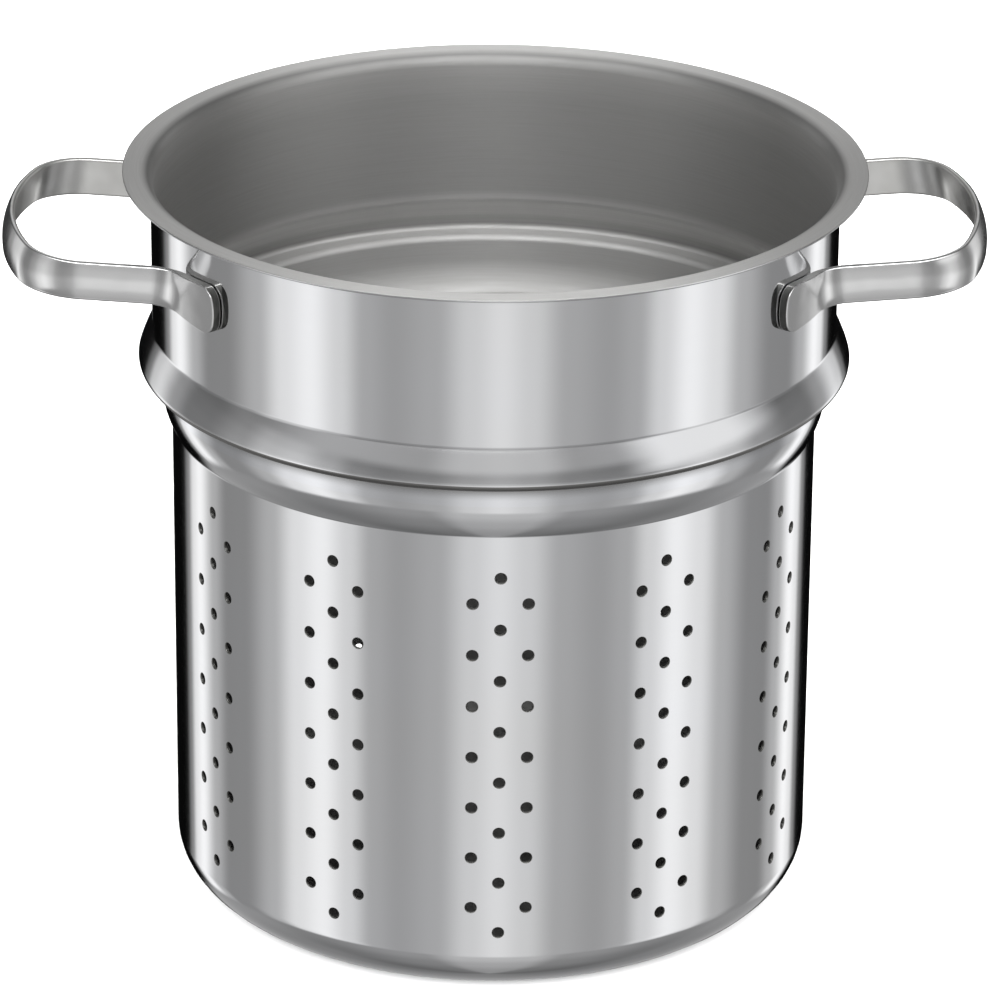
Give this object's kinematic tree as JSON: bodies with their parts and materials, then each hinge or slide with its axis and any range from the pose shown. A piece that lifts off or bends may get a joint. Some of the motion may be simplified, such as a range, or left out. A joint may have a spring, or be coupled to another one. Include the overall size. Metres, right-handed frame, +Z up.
{
  "type": "pasta pot strainer insert",
  "caption": "Deep perforated stainless strainer insert with a flared rim, a bead that rests on a pot's rim, and two welded strap handles.",
  "frame": {"origin": "centre of the base's underside, on the surface that the insert stands on", "axes": "+Z up along the basket's axis, X through the middles of the two handles"},
  "size_m": [0.3464, 0.2614, 0.2685],
  "materials": {
    "polished_steel": "polished 18/10 stainless steel, satin on the inside",
    "handle_steel": "polished stainless steel",
    "weld_steel": "dull weld metal"
  },
  "bodies": {
    "root": {"strainer_body": "polished_steel", "handle_left": "handle_steel", "handle_right": "handle_steel", "handle_welds_left": "weld_steel", "handle_welds_right": "weld_steel"}
  },
  "joints": []
}
